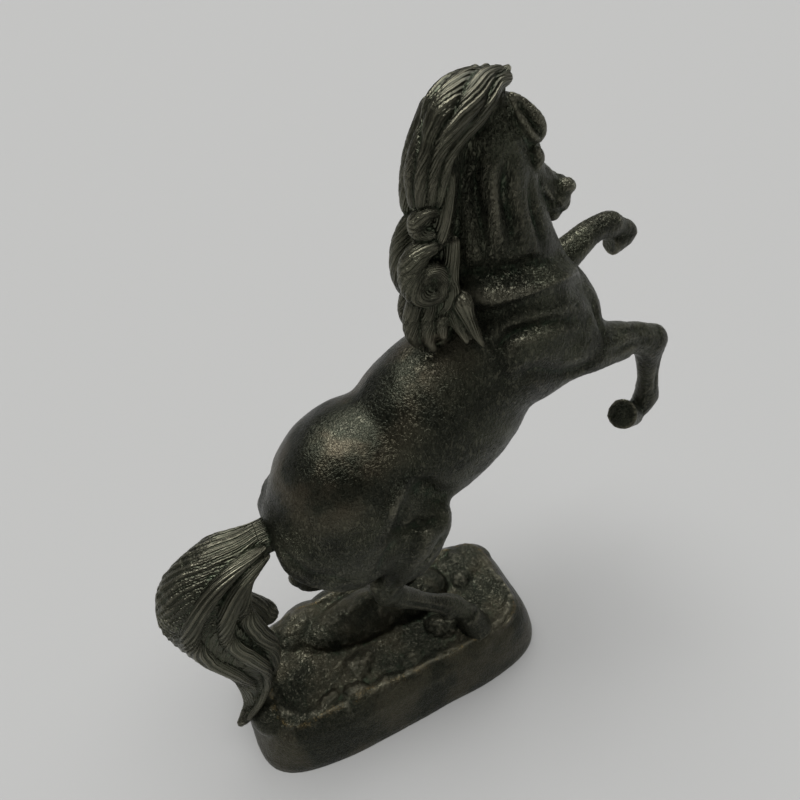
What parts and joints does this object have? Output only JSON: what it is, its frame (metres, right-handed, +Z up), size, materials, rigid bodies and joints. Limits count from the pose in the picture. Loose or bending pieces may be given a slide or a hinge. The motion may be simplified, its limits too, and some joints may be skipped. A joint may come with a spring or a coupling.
{
  "type": "rearing horse statuette",
  "caption": "Rearing horse in dark green patinated bronze, cast in pinned hollow sections and bolted to a rocky terrace base.",
  "frame": {"origin": "in the plane of the base's foot, below the middle of the whole statuette's bounding box", "axes": "+Z up, the horse faces +X and its right side faces -Y"},
  "size_m": [0.2832, 0.0994, 0.3491],
  "materials": {
    "patina": "dark green-brown patinated cast bronze, chased hair texture, worn ridges",
    "steel": "plain drawn steel dowel",
    "fastener_brass": "plain turned brass"
  },
  "bodies": {
    "root": {"base_casting": "patina", "trunk_casting": "patina", "neck_and_head_casting": "patina", "right_foreleg_casting": "patina", "left_foreleg_casting": "patina", "right_hind_leg_casting": "patina", "left_hind_leg_casting": "patina", "tail_casting": "patina", "neck_front_pin": "steel", "neck_back_pin": "steel", "right_foreleg_pin": "steel", "left_foreleg_pin": "steel", "right_hind_leg_pin": "steel", "left_hind_leg_pin": "steel", "tail_pin": "steel", "tail_foot_pin": "steel", "right_hoof_stud": "fastener_brass", "left_hoof_stud": "fastener_brass", "right_washer": "fastener_brass", "left_washer": "fastener_brass", "right_nut": "fastener_brass", "left_nut": "fastener_brass"}
  },
  "joints": []
}
